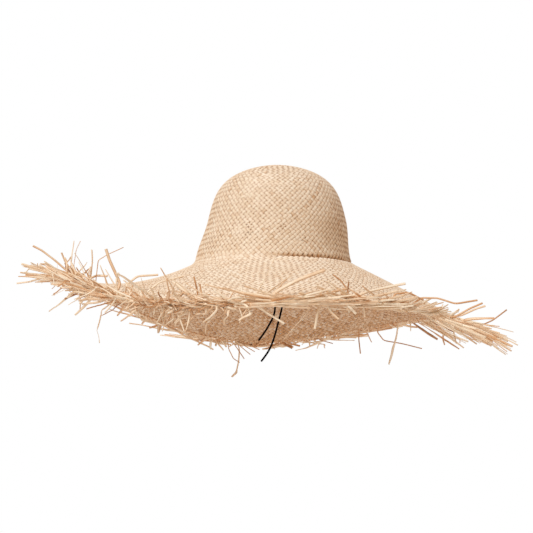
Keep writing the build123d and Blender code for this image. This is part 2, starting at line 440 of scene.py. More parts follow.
class Ribbons:
    """Flat strands gathered into one mesh, each with its own tone, any painted shade on its underside and edges,
    and fibre coordinates.
    """

    def __init__(self, outline):
        self.outline = outline
        self.points = []
        self.faces = []
        self.tones = []
        self.fibres = []
        self.count = 0
        self.strands = 0

    def add(self, line, normals, widths, thickness, tone, under=0.0, edge=0.0, closed_ends=True, tangents=None):
        """Lays one strand. Under and edge are how much painted shade darkens its underside and its edges."""
        steps = len(line)
        sides = len(self.outline)
        if tangents is None:
            tangents = unit(np.gradient(line, axis=0))
        across = unit(np.cross(tangents, normals))
        upward = np.cross(across, tangents)
        half = np.broadcast_to(np.asarray(widths, float), steps)[:, None, None] / 2
        thick = np.broadcast_to(np.asarray(thickness, float), steps)[:, None, None] / 2
        ring = (
            line[:, None, :]
            + across[:, None, :] * self.outline[None, :, :1] * half
            + upward[:, None, :] * self.outline[None, :, 1:] * thick
        )
        self.points.append(ring.reshape(-1, 3))
        fibre = np.zeros((steps, sides, 3))
        fibre[..., 0] = travelled(line)[:, None]
        fibre[..., 1] = self.outline[None, :, 0] * half[..., 0]
        fibre[..., 2] = self.strands * STRAND_OFFSET
        self.fibres.append(fibre.reshape(-1, 3))
        tones = np.broadcast_to(np.asarray(tone, float), steps)
        # Painted shade: the strand's bottom faces and side edges are made darker, as where shade falls under and
        # between strands
        painted_shade = under * np.clip(0.5 - self.outline[:, 1] / 1.6, 0, 1) + edge * (np.abs(self.outline[:, 0]) > 0.9)
        self.tones.append((tones[:, None] + painted_shade[None, :]).ravel())
        self.faces.append(tube_faces(steps, sides, self.count))
        if closed_ends:
            for start, turn in ((self.count, 1), (self.count + (steps - 1) * sides, -1)):
                loop = [start + k for k in range(sides)][::turn]
                for k in range(1, sides - 1, 2):
                    self.faces.append(np.array([[loop[k + 2], loop[k + 1], loop[k], loop[0]]]))
        self.count += steps * sides
        self.strands += 1

    def build(self, name, material):
        """One object of all the strands laid so far."""
        points = np.concatenate(self.points) * MM
        faces = np.concatenate(self.faces)
        mesh = bpy.data.meshes.new(name)
        mesh.vertices.add(len(points))
        mesh.vertices.foreach_set("co", points.ravel())
        mesh.loops.add(faces.size)
        mesh.loops.foreach_set("vertex_index", faces.ravel().astype(np.int32))
        mesh.polygons.add(len(faces))
        mesh.polygons.foreach_set("loop_start", np.arange(0, faces.size, 4, dtype=np.int32))
        mesh.polygons.foreach_set("use_smooth", np.ones(len(faces), bool))
        mesh.update(calc_edges=True)
        mesh.validate()
        # The tone attribute holds each strand's own tone plus its painted shade
        tone = mesh.attributes.new("tone", "FLOAT", "POINT")
        tone.data.foreach_set("value", np.concatenate(self.tones).astype(np.float32))
        fibre = mesh.attributes.new("fibre", "FLOAT_VECTOR", "POINT")
        fibre.data.foreach_set("vector", np.concatenate(self.fibres).ravel().astype(np.float32))
        mesh.materials.append(material)
        return add(name, mesh)


# ---------------- the weave

ROW_STEP = 3.13
FIRST_ROW = 6.5
BRIM_WIDENING = 0.06
WAVE_HEIGHT = 0.42
STRAND_THICKNESS = 0.6
STRAND_FULLNESS = 0.93
JUNCTION_FULLNESS = 0.16
JUNCTION_REACH = 14.0
SEGMENTS = 3
# Painted shade on the undersides of the woven strands
PAINTED_UNDERSIDE_SHADE = 0.36
# Painted shade in the crease where the crown meets the brim
PAINTED_CREASE_SHADE = 0.75
# Painted shade along the woven strands' edges, between neighbouring strands
PAINTED_EDGE_SHADE = 0.5
# A darker patch at the crown's front right, partly weathered straw and partly painted shade
STAIN_AND_SHADE_TONE = 0.16
STAIN_AND_SHADE_HEIGHT = 36.0
STAIN_AND_SHADE_DEGREES = 326.0
STAIN_AND_SHADE_RADIUS = 26.0
TIP_STRANDS = 2
TIP_STEP = 3.3
TIP_OVERLAP = 1.5
TIP_POINTS = 25
LEAST_CROSSINGS = 6
WIDENING_REACH = 60
EVENING = 0.3
# The few gaps in the weave, as (height, degrees)
GAPS = ((33, 275), (35, 248), (27, 249.5), (18, 292))
START_NARROWING = 0.6
UNEVEN_ANGLE = 0.035
UNEVEN_ROW = 0.03
GAP_REACH = 5.0
GAP_NARROWING = 0.55
BASE_TONE = 0.13
BASE_TONE_SPREAD = 0.055
BASE_TONE_LIMITS = (0.04, 0.36)
DRIFT_KEPT = 0.8
DRIFT_SPREAD = 0.035
TONE_SPREAD = 0.03
ORANGE_CHANCE = 0.05
ORANGE_TONE = 0.11


def strand_tones(rng, count):
    """Tones along one strand: 0 is the palest straw and 1 a dark brown, with a few orange stretches."""
    lowest, highest = BASE_TONE_LIMITS
    base = min(highest, max(lowest, rng.gauss(BASE_TONE, BASE_TONE_SPREAD)))
    drift = 0.0
    patch = 0
    tones = []
    for _ in range(count):
        drift = DRIFT_KEPT * drift + rng.gauss(0, DRIFT_SPREAD)
        if patch == 0 and rng.random() < ORANGE_CHANCE:
            patch = rng.randint(1, 3)
        tones.append(max(0.0, base + drift + rng.gauss(0, TONE_SPREAD) + (ORANGE_TONE if patch else 0.0)))
        patch = max(0, patch - 1)
    return tones


def crown_spot(height, degrees):
    """A point of the crown by its height and its direction from the middle."""
    return place(np.interp(-height, -CROWN_HEIGHTS, CROWN_ALONG), math.radians(degrees))


def opened(points, centres):
    """The share of their width that strands keep near the gaps."""
    away = np.linalg.norm(points[:, None, :] - centres[None, :, :], axis=2).min(1)
    return 1 - GAP_NARROWING + GAP_NARROWING * np.minimum(1, away / GAP_REACH)


def neighbours(angles):
    """The angle before and the angle after each one of a whole round."""
    before = np.concatenate([[angles[-1] - 2 * np.pi], angles[:-1]])
    after = np.concatenate([angles[1:], [angles[0] + 2 * np.pi]])
    return before, after


def evened(angles, times):
    """The angles of a round, moved towards the middle between their neighbours."""
    for _ in range(times):
        before, after = neighbours(angles)
        angles = angles + EVENING * (before + after - 2 * angles)
    return angles


def weave_rows(rng):
    """Rows of crossings from the crown's tip to the woven edge.

    Each crossing is (angle, strand of the family that turns one way, strand of the other), and a pair of
    strands joins wherever the rows have room for another crossing.
    """
    steps = round((WOVEN_LENGTH - FIRST_ROW) / ROW_STEP)
    alongs = FIRST_ROW + (WOVEN_LENGTH - FIRST_ROW) * np.arange(steps + 1) / steps
    ring = np.linspace(0, 2 * np.pi, 200, endpoint=False)
    rounds = []
    for along in alongs:
        loop = place(np.full_like(ring, along), ring)
        rounds.append(np.linalg.norm(loop - np.roll(loop, 1, 0), axis=1).sum())
    strands = max(LEAST_CROSSINGS, round(rounds[0] / (2 * ROW_STEP)))
    angles = 2 * np.pi * np.arange(strands) / strands
    ones = list(range(strands))
    others = list(range(strands))
    rows = [(angles, ones, others)]
    for along, size in zip(alongs[1:], rounds[1:]):
        places = list((angles + neighbours(angles)[1]) / 2)
        ones = list(ones)
        others = others[1:] + others[:1]
        widening = 1 + BRIM_WIDENING * min(1, max(0, along - CROWN_LENGTH) / WIDENING_REACH)
        wanted = round(size / (2 * ROW_STEP * widening))
        while len(places) < wanted:
            gaps = np.diff(np.array(places + [places[0] + 2 * np.pi]))
            noise = np.array([rng.uniform(0.8, 1.2) for _ in gaps])
            widest = int(np.argmax(gaps * noise))
            places.insert(widest + 1, places[widest] + gaps[widest] / 2)
            ones.insert(widest + 1, strands)
            others.insert(widest + 1, strands)
            strands += 1
            places = list(evened(np.array(places), 3))
        angles = evened(np.array(places), 4)
        rows.append((angles, ones, others))
    return alongs, rows


def smooth_line(knots, per_span):
    """A Catmull-Rom line through the knots, with so many points to each span."""
    knots = np.asarray(knots, float)
    padded = np.concatenate([[2 * knots[0] - knots[1]], knots, [2 * knots[-1] - knots[-2]]])
    share = np.arange(per_span) / per_span
    t = share[None, :, None]
    before, first, second, after = (padded[k:len(padded) - 3 + k, None, :] for k in range(4))
    squared = 2 * before - 5 * first + 4 * second - after
    cubed = 3 * first - before - 3 * second + after
    line = 0.5 * (2 * first + (second - before) * t + squared * t ** 2 + cubed * t ** 3)
    return np.concatenate([line.reshape(-1, knots.shape[1]), knots[-1:]])


def collect_paths(alongs, rows, rng):
    """Each strand's crossings, as (distance, angle, height sign, width, row)."""
    paths = [{}, {}]
    centres = np.array([crown_spot(*gap) for gap in GAPS])
    for j, (along, (angles, ones, others)) in enumerate(zip(alongs, rows)):
        before, after = neighbours(angles)
        points = place(along, angles)
        gaps = np.linalg.norm(place(along, after) - place(along, before), axis=1) / 2
        pitch = gaps * ROW_STEP / np.hypot(gaps / 2, ROW_STEP) * opened(points, centres)
        for i, angle in enumerate(angles):
            near_angle = angle + rng.gauss(0, UNEVEN_ANGLE) * gaps[i] / np.linalg.norm(points[i, :2])
            near_along = along + rng.gauss(0, UNEVEN_ROW) * ROW_STEP
            for family, name in ((0, ones[i]), (1, others[i])):
                sign = 1 if (j + family) % 2 else -1
                paths[family].setdefault(name, []).append((near_along, near_angle, sign, pitch[i], j))
    return paths


def stain_and_shade(points):
    """How much darker the weave is around a patch at the crown's front right: partly weathered straw, partly
    painted shade.
    """
    away = np.linalg.norm(points - crown_spot(STAIN_AND_SHADE_HEIGHT, STAIN_AND_SHADE_DEGREES), axis=1)
    return STAIN_AND_SHADE_TONE * np.exp(-(away / STAIN_AND_SHADE_RADIUS) ** 2)


def lay_strand(crown, brim, knots, tone, width_share, split):
    """Lays one strand over and under through its crossings, the first of them up to the split on the crown."""
    line = smooth_line(knots[:, [0, 1, 3]], SEGMENTS)
    share = np.tile(np.arange(SEGMENTS) / SEGMENTS, len(knots) - 1)
    first = np.repeat(knots[:-1, 2], SEGMENTS)
    height = np.append(first * np.cos(np.pi * share), knots[-1, 2]) * WAVE_HEIGHT
    normals = outward(line[:, 0], line[:, 1])
    points = place(line[:, 0], line[:, 1]) + normals * height[:, None]
    tangents = unit(np.gradient(points, axis=0))
    near_junction = np.clip(1 - np.abs(line[:, 0] - CROWN_LENGTH) / JUNCTION_REACH, 0, 1)
    widths = line[:, 2] * (STRAND_FULLNESS * width_share + JUNCTION_FULLNESS * near_junction)
    tones = np.interp(np.arange(len(line)) / SEGMENTS, np.arange(len(tone)), tone)
    # Painted shade: the weave darkens inside the crease
    tones = tones + PAINTED_CREASE_SHADE * crease_depth(line[:, 1]) / CREASE_DEPTH * pinch(line[:, 0])
    # Partly a weathered patch, partly painted shade on the crown's shaded right side
    tones = tones + stain_and_shade(points)
    cut = split * SEGMENTS
    for ribbons, run in ((crown, slice(0, cut + 1)), (brim, slice(cut, len(points)))):
        if len(points[run]) > 2:
            ribbons.add(
                points[run], normals[run], widths[run], STRAND_THICKNESS, tones[run], PAINTED_UNDERSIDE_SHADE, PAINTED_EDGE_SHADE,
                tangents=tangents[run],
            )


def close_tip(ribbons, rng):
    """The square-woven start of the hat, across the crown's tip."""
    count = 2 * TIP_STRANDS
    spots = (np.arange(count) - (count - 1) / 2) * TIP_STEP
    reach = FIRST_ROW + TIP_OVERLAP
    for family in (0, 1):
        for i, spot in enumerate(spots):
            half = math.sqrt(max(0.0, reach * reach - spot * spot))
            run = np.linspace(-half, half, TIP_POINTS)
            across = np.full_like(run, spot)
            x, y = (run, across) if family == 0 else (across, run)
            distance = np.hypot(x, y)
            angle = np.arctan2(y, x)
            over = np.sin(np.pi * (run / TIP_STEP + i + family)) * WAVE_HEIGHT
            over = np.where(distance > FIRST_ROW - 0.5, -WAVE_HEIGHT, over)
            normals = outward(np.maximum(distance, 0.4), angle)
            points = place(np.maximum(distance, 0.01), angle) + normals * over[:, None]
            tone = strand_tones(rng, len(run))
            ribbons.add(points, normals, TIP_STEP * 0.95, STRAND_THICKNESS, tone, PAINTED_UNDERSIDE_SHADE, PAINTED_EDGE_SHADE)


def make_weave(straw):
    """Both families of strands, from the tip to the junction and from there to the woven edge.

    Returns each strand's family, its last crossing and its tone there.
    """
    rng = random.Random(11)
    alongs, rows = weave_rows(rng)
    paths = collect_paths(alongs, rows, rng)
    junction = int(np.argmin(np.abs(alongs - CROWN_LENGTH)))
    ends = []
    for family, turn in ((0, "right"), (1, "left")):
        crown = Ribbons(FLAT_RIBBON)
        brim = Ribbons(FLAT_RIBBON)
        for name in sorted(paths[family]):
            knots = paths[family][name]
            if len(knots) < 2:
                continue
            width_share = rng.uniform(0.93, 1.03)
            first_row = knots[0][4]
            knots = np.array(knots, float)[:, :4]
            knots[:, 1] = np.unwrap(knots[:, 1])
            if first_row > 0:
                start = 1.5 * knots[0] - 0.5 * knots[1]
                start[2] = -1
                start[3] = knots[0, 3] * START_NARROWING
                knots = np.vstack([start, knots])
                first_row -= 1
            tones = strand_tones(rng, len(knots))
            lay_strand(crown, brim, knots, tones, width_share, max(0, junction - first_row))
            ends.append((family, knots[-1], tones[-1]))
        if family == 0:
            close_tip(crown, rng)
        for part, ribbons in (("crown", crown), ("brim", brim)):
            obj = ribbons.build(f"{part}_strands_{turn}", straw)
            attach(obj, HAT)
            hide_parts(part)
    return ends


# ---------------- the frayed edge

SECTORS = ("right", "back_right", "back", "back_left", "left", "front_left", "front", "front_right")
# Arcs of the edge in degrees, which differ in how their strands lie
LEFT_ARC = (146, 206)
FRONT_LEFT_ARC = (206, 262)
FRONT_ARC = (262, 318)
RIGHT_ARC = (318, 398)
BACK_ARC = (38, 146)
STREAMING_ARC = (206, 226)
SHAGGY_ARC = (76, 116)
NO_UPRIGHT_ARC = (256, 340)
HANGING_ARC = (222, 320)
MOST_DROOP = 0.08
STRAY_STEP = 5.0
STRAY_SHADE = 0.16
THICKEST_STRAY = 1.3
SHORTEST_LINE = 4
TAPER_START = 0.6
TAPER = 0.35
JOIN_REACH = 9.0
KINK_TURNS = (35, 95)
KINK_RISE = 28
KINK_KEPT = (0.8, 0.7)
LIE_GAP = 0.3
LIE_RISE = 1.3
LIE_REACH = 8.0
EDGE_OVERHANG = 1.03
ROOM_SHARE = 0.03
ROOM_SPARE = 9
EXTRA_FIBRES = 380
PALE_ARC = (256, 322)
PALE_ARC_TONE = 0.5
DARK_SHARE = 0.13
PALE_SHARE = 0.55
UPRIGHT_SHARE = 0.014
HANGING_SHARE = 0.026
EXTRA_ARCS = (
    (146, 200), (196, 230), (206, 234), (224, 258), (226, 262), (232, 266), (262, 318), (262, 318), (330, 396),
)
TWINE_OFFSET = 1.45
TWINE_SWING = 0.75
TWINE_PERIOD = 12.4
TWINE_WIDTH = 2.3
TWINE_THICKNESS = 0.9
TWINE_POINTS = 900

# The strands that stand out from the rest: place round the edge in degrees, width, tone, and the line's
# points as (x, y, z) from the edge
LOOSE_STRANDS = (
    (186, 2.6, 0.32, ((-24, -2, 21), (-40, -4, 33), (-50, -5, 38))),
    (190, 2.2, 0.12, ((-30, -5, 5), (-52, -8, -3), (-68, -8, -5))),
    (192, 0.7, 0.45, ((-4, -4, 16), (-1, -8, 34), (4, -10, 44))),
    (196, 2.0, 0.3, ((-16, -6, 22), (-20, -8, 32))),
    (205, 2.4, 0.62, ((-12, -8, -10), (-25, -10, -16))),
    (208, 3.0, 0.2, ((-6, -3, 8), (6, -8, 12), (18, -12, 11))),
    (210, 1.0, 0.5, ((2, -6, 14), (4, -8, 30), (14, -10, 36), (32, -12, 44))),
    (221, 3.2, 0.22, ((4, 6, 12), (-8, 8, 38), (-12, 8, 50))),
    (228, 2.6, 0.04, ((-8, 10, 14), (4, 16, 24), (26, 20, 26))),
    (236, 2.2, 0.1, ((-10, 8, 8), (4, 12, 20), (30, 16, 27))),
    (249, 1.8, 0.6, ((0, 2, 10), (-4, 4, 27))),
    (251, 1.6, 0.55, ((-3, 0, 8), (-5, 2, 19))),
    (262, 2.4, 0.02, ((8, -3, -1), (26, -8, -14), (42, -10, -24))),
    (268, 4.0, 0.12, ((14, 8, 13), (34, 14, 24), (62, 20, 35))),
    (282, 2.8, 0.04, ((5, -6, 1), (0, -10, -12), (-3, -11, -30))),
    (283, 2.6, 0.1, ((4, -8, 0), (10, -11, -12), (18, -12, -20))),
    (287, 3.2, 0.02, ((8, -9, 1), (22, -12, -14))),
    (290, 1.8, 0.6, ((4, 4, 12), (-4, 8, 24), (-12, 10, 30))),
    (291, 1.6, 0.7, ((-1, 2, 8), (1, 4, 22))),
    (294, 2.2, 0.05, ((5, -8, -2), (7, -10, -16))),
    (290, 3.0, 0.02, ((24, 12, 12), (48, 20, 18), (66, 24, 22))),
    (303, 2.0, 0.14, ((14, -4, -3), (24, -5, -8))),
    (306, 2.2, 0.62, ((2, 6, 14), (18, 12, 16), (34, 14, 8))),
    (312, 2.2, 0.5, ((14, 4, 12), (32, 6, 12), (52, 8, 6), (76, 10, 10))),
    (331, 2.2, 0.5, ((12, 2, -2), (30, 3, 8), (44, 4, 14))),
    (335, 2.4, 0.3, ((14, 2, 1), (32, 3, 9), (42, 4, 12))),
    (350, 1.6, 0.62, ((22, 0, -10), (40, 0, -2), (56, 0, 10))),
    (28, 2.4, 0.06, ((2, -4, -8), (6, -6, -15))),
    (60, 1.5, 0.62, ((0, 1, -14), (2, 2, -32))),
    (52, 1.7, 0.5, ((-2, 2, -10), (6, 4, -20), (30, 6, -24), (54, 7, -30))),
    (76, 1.4, 0.62, ((9, 2, -5), (24, 3, -9))),
    (77, 1.8, 0.5, ((8, 2, -1), (18, 3, -3))),
    (88, 4.2, 0.58, ((6, 2, -4), (18, 3, -10))),
    (86, 3.0, 0.5, ((7, 2, -5), (20, 3, -8))),
    (93, 3.4, 0.5, ((-6, 2, -4), (-10, 3, -8))),
    (104, 1.2, 0.5, ((10, 2, -14), (18, 3, -26))),
    (103, 1.2, 0.42, ((10, 2, -10), (22, 3, -20))),
    (102, 1.2, 0.46, ((10, 2, -8), (24, 3, -16))),
    (105, 1.2, 0.5, ((2, 2, -14), (8, 3, -26), (16, 3, -31))),
    (101, 1.4, 0.4, ((10, 2, -6), (26, 3, -13))),
)


def bent(corners):
    """The points of a strand that is straight between sharp bends."""
    points = []
    for start, end in zip(corners, corners[1:]):
        start, end = np.array(start, float), np.array(end, float)
        points += [start + (end - start) * share for share in (0.12, 0.5, 0.88)]
    return np.array([corners[0]] + points + [corners[-1]], float)


def edge_frame(angle):
    """A point of the woven edge, with the directions out past it, on round it and up from it."""
    foot = place(WOVEN_LENGTH, angle)
    down = unit(place(WOVEN_LENGTH + 2, angle) - place(WOVEN_LENGTH - 2, angle))
    up = outward(WOVEN_LENGTH, angle)
    return foot, down, np.cross(up, down), up


def clear_of_brim(points, side):
    """Keeps a loose strand on the side of the brim where it belongs."""
    angle = np.arctan2(points[:, 1], points[:, 0])
    start = BRIM_START_RADIUS * np.hypot(np.cos(angle), HEAD_OVAL * np.sin(angle))
    end = BRIM_EDGE_RADIUS + BRIM_EDGE_SHIFT * np.cos(angle)
    share = (np.hypot(points[:, 0], points[:, 1]) - start) / (end - start)
    surface = brim_place(share, angle)[:, 2]
    gap = LIE_GAP + LIE_RISE * np.minimum(1, travelled(points) / LIE_REACH)
    over = share < EDGE_OVERHANG
    points = points.copy()
    if side > 0:
        points[:, 2] = np.where(over, np.maximum(points[:, 2], surface + gap), points[:, 2])
    elif side < 0:
        points[:, 2] = np.where(over, np.minimum(points[:, 2], surface - gap), points[:, 2])
    return points


# How a loose strand lies: the (heading, rise) that it bends towards, its length, its chance of a kink at each
# step, how far it wanders, how fast it bends towards the goal, and the side of the brim that it keeps to
Lie = namedtuple("Lie", "goal length kinks wander stiffness side")


def grow(rng, angle, heading, rise, width, lie, lift=0.0, start_width=None):
    """The line, normals and widths of a loose strand.

    Heading is measured from straight outwards towards a growing angle, and rise from the brim's slope.
    """
    foot, down, around, up = edge_frame(angle)
    steps = max(3, round(lie.length / STRAY_STEP))
    size = lie.length / steps
    point = foot + up * lift
    goal_heading, goal_rise = lie.goal
    droop = rng.uniform(0, MOST_DROOP)
    roll = rng.uniform(-1.5, 1.5)
    twist = rng.gauss(0, 0.12)
    knots = []
    for step in range(steps + 1):
        turned = math.radians(heading)
        raised = math.radians(rise)
        flat = down * math.cos(turned) + around * math.sin(turned)
        direction = flat * math.cos(raised) + up * math.sin(raised)
        normal = up * math.cos(raised) - flat * math.sin(raised)
        side = np.cross(direction, normal)
        normal = normal * math.cos(roll) + side * math.sin(roll)
        share = step / steps
        body = width * (1 - TAPER * max(0, share - TAPER_START) / (1 - TAPER_START))
        if start_width is not None:
            body += (start_width - width) * max(0, 1 - step * size / JOIN_REACH)
        knots.append(np.concatenate([point, normal, [body]]))
        point = point + direction * size - np.array([0, 0, droop * size * share])
        heading += (goal_heading - heading) * lie.stiffness + rng.gauss(0, lie.wander)
        rise += (goal_rise - rise) * lie.stiffness + rng.gauss(0, lie.wander * 0.7)
        roll += twist + rng.gauss(0, 0.08)
        if step and rng.random() < lie.kinks:
            bend = rng.choice((-1, 1)) * rng.uniform(*KINK_TURNS)
            tip = rng.gauss(0, KINK_RISE)
            heading += bend
            rise += tip
            goal_heading += bend * KINK_KEPT[0]
            goal_rise += tip * KINK_KEPT[1]
    return np.array(knots)


def room_for_strands():
    """The box that loose strands may fill: the CAD box and a little more."""
    low, high = (np.array(tuple(corner)) / MM for corner in cad_box)
    spare = (high - low) * ROOM_SHARE + ROOM_SPARE
    return low - spare, high + spare


def lay_stray(ribbons, rng, knots, tone, side, fullness=None):
    """Lays one loose strand. Most have curled up lengthwise, so they are thick for their width."""
    line = smooth_line(knots, 3)
    points = clear_of_brim(line[:, :3], side)
    low, high = room_for_strands()
    outside = np.any((points < low) | (points > high), axis=1)
    if outside.any():
        kept = int(np.argmax(outside))
        if kept < SHORTEST_LINE:
            return
        line = line[:kept]
        points = points[:kept]
    if fullness is None:
        fullness = rng.uniform(0.3, 0.7)
    thickness = np.minimum(line[:, 6] * fullness, THICKEST_STRAY)
    wave = rng.uniform(0, 6.28)
    share = np.linspace(0, 1, len(line))
    tones = tone + 0.09 * np.sin(share * rng.uniform(3, 9) + wave) + rng.uniform(-0.02, 0.12) * share
    tones = np.clip(tones, 0, 1)
    ribbons.add(points, unit(line[:, 3:6]), line[:, 6], thickness, tones, STRAY_SHADE, STRAY_SHADE)


def towards(angle, direction):
    """The (heading, rise) at the woven edge of a direction given along the hat's axes."""
    foot, down, around, up = edge_frame(angle)
    direction = unit(np.array(direction, float))
    heading = math.degrees(math.atan2(direction.dot(around), direction.dot(down)))
    return heading, math.degrees(math.asin(np.clip(direction.dot(up), -1, 1)))


def stray_tone(angle, rng):
    """Tone of a loose strand, paler along the front edge."""
    share = PALE_ARC_TONE if in_arc(angle, *PALE_ARC) else 1.0
    chance = rng.random()
    if chance < DARK_SHARE:
        return share * rng.uniform(0.38, 0.72)
    if chance < DARK_SHARE + PALE_SHARE:
        return share * rng.uniform(0.0, 0.08)
    return share * min(0.5, max(0.0, rng.gauss(0.22, 0.08)))


def sector_of(angle):
    return round(math.degrees(angle) / 45) % len(SECTORS)


def in_arc(angle, low, high):
    """Whether an angle lies in an arc given in degrees, which may run on past a whole turn."""
    degrees = math.degrees(angle) % 360
    return low <= degrees <= high or degrees + 360 <= high


def lean_out(angle, way, sideways, upwards, rng):
    """The goal of a strand that streams out to one side: way is 1 to the right and -1 to the left."""
    return towards(angle, (way, rng.gauss(*sideways), rng.gauss(*upwards)))


def combed(angle, turn, rng):
    """How a strand end lies, by its place on the edge.

    Strands stream outwards on the left and the right, tangle at the front left, and lie along the edge at the
    front and the back.
    """
    if in_arc(angle, *LEFT_ARC):
        goal = lean_out(angle, -1, (-0.1, 0.34), (0.26, 0.12), rng)
        return Lie(goal, rng.uniform(32, 74), kinks=0.07, wander=3.0, stiffness=0.42, side=1)
    if in_arc(angle, *FRONT_LEFT_ARC):
        if rng.random() < 0.4 or in_arc(angle, *STREAMING_ARC):
            goal = lean_out(angle, -1, (0.35, 0.2), (0.44, 0.15), rng)
            return Lie(goal, rng.uniform(28, 74), kinks=0.09, wander=4.0, stiffness=0.4, side=1)
        goal = (turn * rng.uniform(25, 95), rng.gauss(-14, 26))
        length = rng.uniform(22, 50)
        side = 1 if goal[1] > -16 else rng.choice((-1, 1))
        return Lie(goal, length, kinks=0.3, wander=9.0, stiffness=0.3, side=side)
    if in_arc(angle, *FRONT_ARC):
        way = turn if rng.random() < 0.5 else 1
        degrees = math.degrees(angle) % 360
        raised = float(np.interp(degrees, (284, 298, 308, 318), (0, 12, 13, 4)))
        goal = (way * rng.uniform(84, 106), rng.uniform(1, 14) + raised)
        longest = float(np.interp(degrees, (280, 300), (95, 62)))
        return Lie(goal, rng.uniform(40, longest), kinks=0.008, wander=1.6, stiffness=0.5, side=1)
    if in_arc(angle, *RIGHT_ARC):
        goal = lean_out(angle, 1, (0.05, 0.36), (-0.46, 0.14), rng)
        return Lie(goal, rng.uniform(32, 76), kinks=0.012, wander=2.5, stiffness=0.42, side=1)
    goal = (turn * rng.uniform(78, 106), rng.uniform(0, 9))
    if rng.random() < (0.4 if in_arc(angle, *SHAGGY_ARC) else 0.15):
        goal = (turn * rng.uniform(20, 85), rng.gauss(-9, 10))
        return Lie(goal, rng.uniform(8, 28), kinks=0.05, wander=4.0, stiffness=0.3, side=1)
    return Lie(goal, rng.uniform(30, 85), kinks=0.04, wander=3.0, stiffness=0.35, side=1)


def make_fringe(edge_ends, material):
    """The free ends of the weaving strands, some of them split in two, and loose fibres among them."""
    rng = random.Random(29)
    sectors = [Ribbons(LEAN_RIBBON) for _ in SECTORS]
    for family, last, tone in edge_ends:
        angle = last[1]
        if last[0] < WOVEN_LENGTH - ROW_STEP:
            continue
        turn = 1 if family == 0 else -1
        parts = 1 if in_arc(angle, *BACK_ARC) else rng.choice((1, 1, 1, 2))
        for part in range(parts):
            lie = combed(angle, turn, rng)
            chance = rng.random()
            if chance < UPRIGHT_SHARE and not in_arc(angle, *NO_UPRIGHT_ARC):
                goal = (turn * rng.uniform(0, 80), rng.uniform(25, 70))
                lie = lie._replace(goal=goal, length=lie.length * 0.5)
            elif chance < UPRIGHT_SHARE + HANGING_SHARE and in_arc(angle, *HANGING_ARC):
                goal = (turn * rng.uniform(0, 60), rng.uniform(-80, -40))
                lie = lie._replace(goal=goal, length=rng.uniform(15, 34))
            width = (0, rng.uniform(2.0, 3.9), rng.uniform(1.2, 2.4))[parts]
            start_width = STRAND_FULLNESS * last[3] * (0, 0.8, 0.5)[parts]
            knots = grow(rng, angle, turn * 45, rng.gauss(0, 5), width, lie, 0.3 * last[2], start_width)
            tones = 0.2 * tone + 0.8 * stray_tone(angle, rng)
            lay_stray(sectors[sector_of(angle)], rng, knots, tones, lie.side)
    for _ in range(EXTRA_FIBRES):
        angle = math.radians(rng.uniform(*rng.choice(EXTRA_ARCS)))
        turn = rng.choice((1, -1))
        lie = combed(angle, turn, rng)
        heading = turn * rng.uniform(20, 60)
        knots = grow(rng, angle, heading, rng.gauss(0, 8), rng.uniform(1.4, 3.3), lie)
        lay_stray(sectors[sector_of(angle)], rng, knots, stray_tone(angle, rng), lie.side)
    for degrees, width, tone, offsets in LOOSE_STRANDS:
        angle = math.radians(degrees)
        foot, down, around, up = edge_frame(angle)
        line = bent([(0, 0, 0)] + list(offsets)) + foot + up * 0.5
        normals = np.broadcast_to(unit(0.5 * up + np.array([0, -0.85, 0])), line.shape)
        widths = np.full((len(line), 1), width)
        knots = np.concatenate([line, normals, widths], 1)
        lay_stray(sectors[sector_of(angle)], rng, knots, tone, 0, 0.5)
    for name, ribbons in zip(SECTORS, sectors):
        obj = ribbons.build("frayed_" + name, material)
        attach(obj, HAT)
        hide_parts("fringe_" + name)


def make_twining(material):
    """Two strands twisted round each other just past the last woven row."""
    angles = np.linspace(0, 2 * np.pi, TWINE_POINTS + 1)
    along = np.full_like(angles, WOVEN_LENGTH)
    foot = place(along, angles)
    down = unit(place(along + 2, angles) - place(along - 2, angles))
    up = outward(along, angles)
    turns = round(2 * np.pi * BRIM_EDGE_RADIUS / TWINE_PERIOD)
    for k, name in enumerate(("one", "two")):
        ribbons = Ribbons(RIBBON)
        phase = turns * angles + k * np.pi
        normals = up * np.sin(phase)[:, None] + down * np.cos(phase)[:, None]
        line = foot + down * TWINE_OFFSET + normals * TWINE_SWING
        tone = 0.5 + 0.1 * np.sin(angles * 3 + k) + 0.08 * np.sin(angles * 17)
        ribbons.add(line, normals, TWINE_WIDTH, TWINE_THICKNESS, tone, closed_ends=False)
        obj = ribbons.build("twined_strand_" + name, material)
        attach(obj, HAT)
        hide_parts("edge_twining")


# ---------------- inside the crown

BAND_BOTTOM = 0.2
BAND_FOLD_TOP = 1.2
BAND_THICKNESS = 0.9
CHANNEL_WIDTH = 3.2
FOLD_GAP = 0.3
CORNER_ROOM = 0.9
NOTCH = (-1.0, 23.0)
NOTCH_FRONT = 95.0
NOTCH_TOP = 2.0
BAND_LAP = (80, 86)
BAND_LAP_STEP = 0.45
CORD_BULGE = 0.25
CORD_BULGE_REACH = 3.0
BAND_RIBS = 360
RIB_DEPTH = 0.11
STITCH_COUNT = 120
STITCH_LENGTH = 2.8
STITCH_DIAMETER = 0.5
STITCH_HEIGHT = 3.5
CORD_HEIGHT = 12.0
CORD_BEND_RADIUS = 8.0
CORD_END_HEIGHT = 0.2
CORD_TURNS = (92.0, 434.0)


def wall_inside(height):
    """The radius of the crown's inner face."""
    return crown_radius(height) - WEAVE_THICKNESS


